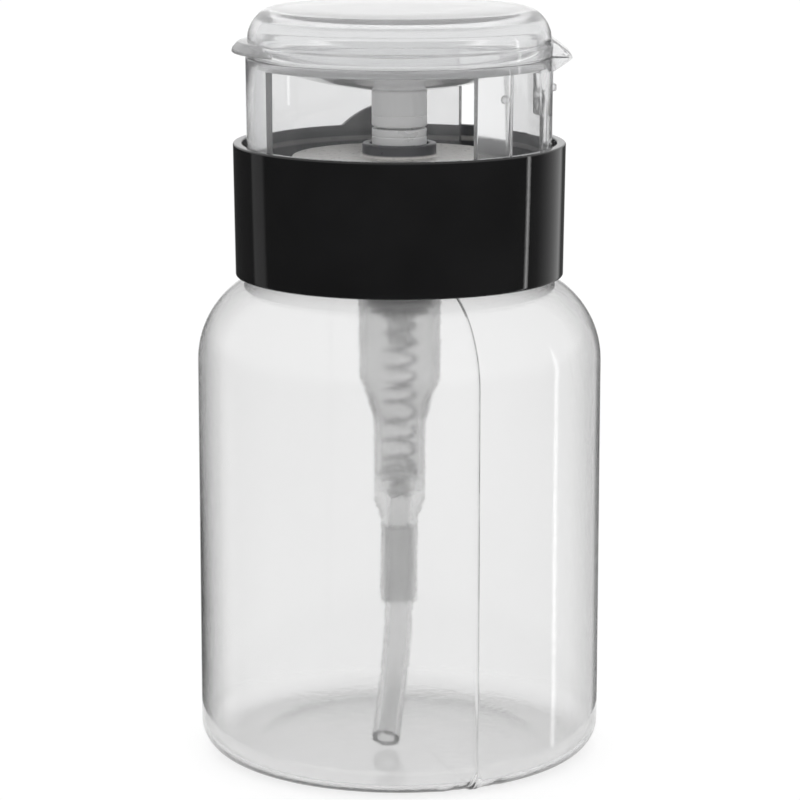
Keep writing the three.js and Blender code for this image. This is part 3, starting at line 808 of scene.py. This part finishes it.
def thumb_mesh():
    """The crescent lip that a thumb lifts: a slice of a wider disc whose upper edge is chamfered."""
    corners = [(0.0, 107.9), (THUMB_R, 107.9), (17.9, 108.5), (17.0, 109.5), (0.0, 109.5)]
    profile = rounded(corners, [0, 0.2, 0.4, 0.3, 0], 3)
    item = lathe("thumb", profile, 160)
    item.data.transform(Matrix.Translation((THUMB_SHIFT * MM, 0, 0)))
    combine(item, box_mesh("side", (-40, -40, 107), (-8, 40, 110)), "INTERSECT")
    combine(item, lathe_mesh("core", [(0, 106), (22.4, 106), (22.4, 111), (0, 111)], 160), "DIFFERENCE")
    mesh = item.data.copy()
    bpy.data.objects.remove(item)
    return mesh


def make_hinge():
    """A wedge on the rim and a wedge on the lid, joined by a thin film at the fold line."""
    outline = [
        (22.7, 105.2), (23.3, 105.5), (25.45, 106.95), (25.8, 107.3), (25.8, 107.55), (25.4, 107.95),
        (23.0, 109.75), (22.6, 109.9), (22.6, 107.62), (25.3, 107.52), (25.3, 107.4), (22.7, 107.3),
    ]
    item = new_object("living_hinge", prism_mesh("living_hinge", outline, -HINGE_HALF, HINGE_HALF, "Y"))
    return soften(item, 0.1, 30)


def make_head():
    piece(make_skirt(), "head", "clear_plastic", SKIRT_LOOK, "skirt")
    piece(make_dish(), "head", "clear_plastic", DISH_LOOK, "dish")
    piece(make_cover(), "head", "clear_plastic", STEM_LOOK, "outlet_cover")
    piece(make_lid(), "lid", "clear_plastic", LID_LOOK, "lid")
    strap = make_hinge()
    strap.data.materials.append(LID_LOOK)
    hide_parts("hinge_web_lower", "hinge_web_upper")
    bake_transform(strap)


# ---- studio ----------------------------------------------------------------------------------
def make_floor():
    outline = [(0.0, -0.02), (FLOOR_R, -0.02), (FLOOR_R, -2.0), (0.0, -2.0)]
    item = lathe("floor", outline, 96)
    g = Graph("pale_floor")
    g.set(Base_Color=(0.35, 0.35, 0.35, 1), Roughness=0.7, Specular_IOR_Level=0.1)
    g.set(Emission_Color=(1, 1, 1, 1), Emission_Strength=0.72)
    item.data.materials.append(g.material)


def make_world():
    """White behind and above, dark at the camera's side, with soft strips at the two sides."""
    world = bpy.data.worlds.new("studio")
    bpy.context.scene.world = world
    world.use_nodes = True
    tree = world.node_tree
    tree.nodes.clear()

    def node(kind, **settings):
        made = tree.nodes.new(kind)
        for key, value in settings.items():
            setattr(made, key, value)
        return made

    def ramp(value, stops):
        made = node("ShaderNodeValToRGB")
        while len(made.color_ramp.elements) < len(stops):
            made.color_ramp.elements.new(0.5)
        for element, (at, level) in zip(made.color_ramp.elements, stops):
            element.position = at
            element.color = (level, level, level, 1)
        tree.links.new(value, made.inputs["Fac"])
        return made.outputs["Color"]

    split = node("ShaderNodeSeparateXYZ")
    tree.links.new(node("ShaderNodeTexCoord").outputs["Generated"], split.inputs[0])
    minus_y = node("ShaderNodeMath", operation="MULTIPLY")
    minus_y.inputs[1].default_value = -1
    tree.links.new(split.outputs["Y"], minus_y.inputs[0])
    turn = node("ShaderNodeMath", operation="ARCTAN2")
    tree.links.new(split.outputs["X"], turn.inputs[0])
    tree.links.new(minus_y.outputs[0], turn.inputs[1])
    share = node("ShaderNodeMapRange")
    share.inputs["From Min"].default_value = -math.pi
    share.inputs["From Max"].default_value = math.pi
    tree.links.new(turn.outputs[0], share.inputs["Value"])
    stops = []
    for azimuth, level in STUDIO_RING:
        stops.append(((azimuth + 180) / 360, level))
    ring = ramp(share.outputs["Result"], stops)
    height = node("ShaderNodeMapRange")
    height.inputs["From Min"].default_value = -1
    height.inputs["From Max"].default_value = 1
    tree.links.new(split.outputs["Z"], height.inputs["Value"])

    def by_elevation(levels):
        return ramp(height.outputs["Result"], [((math.sin(math.radians(e)) + 1) / 2, v) for e, v in levels])

    def mixed(kind, a, b):
        made = node("ShaderNodeMix", data_type="RGBA", blend_type=kind)
        made.inputs["Factor"].default_value = 1
        tree.links.new(a, made.inputs[6])
        tree.links.new(b, made.inputs[7])
        return made.outputs[2]

    light = mixed("LIGHTEN", mixed("MULTIPLY", ring, by_elevation(STUDIO_LOW)), by_elevation(STUDIO_TOP))
    path = node("ShaderNodeLightPath")
    levels = (
        ("Is Diffuse Ray", STUDIO_TENT),
        ("Is Transmission Ray", STUDIO_THROUGH),
        ("Is Camera Ray", STUDIO_SEEN),
    )
    for ray, level in levels:
        seen = node("ShaderNodeMix", data_type="RGBA")
        tree.links.new(path.outputs[ray], seen.inputs["Factor"])
        tree.links.new(light, seen.inputs[6])
        seen.inputs[7].default_value = (*grey(level), 1)
        light = seen.outputs[2]
    background = node("ShaderNodeBackground")
    tree.links.new(light, background.inputs["Color"])
    tree.links.new(background.outputs[0], node("ShaderNodeOutputWorld").inputs["Surface"])


def make_camera():
    data = bpy.data.cameras.new("camera")
    data.lens = CAMERA_LENS
    data.sensor_width = 36
    data.clip_start, data.clip_end = 0.02, 20
    camera = bpy.data.objects.new("camera", data)
    bpy.context.scene.collection.objects.link(camera)
    camera.location = CAMERA_AT
    aim = Vector(CAMERA_AIM)
    camera.rotation_mode = "QUATERNION"
    camera.rotation_quaternion = (aim - camera.location).to_track_quat("-Z", "Y")
    bpy.context.scene.camera = camera


def make_studio():
    make_floor()
    make_world()
    make_camera()
    scene = bpy.context.scene
    scene.view_settings.view_transform = "Standard"
    scene.cycles.max_bounces = 24
    scene.cycles.transmission_bounces = 24
    scene.cycles.transparent_max_bounces = 16


make_studio()
piece(make_bottle(), "bottle", "bottle_plastic", BOTTLE_LOOK, "bottle")
piece(make_collar(), "collar", "black_plastic", BLACK_LOOK, "collar")
make_pump()
make_head()
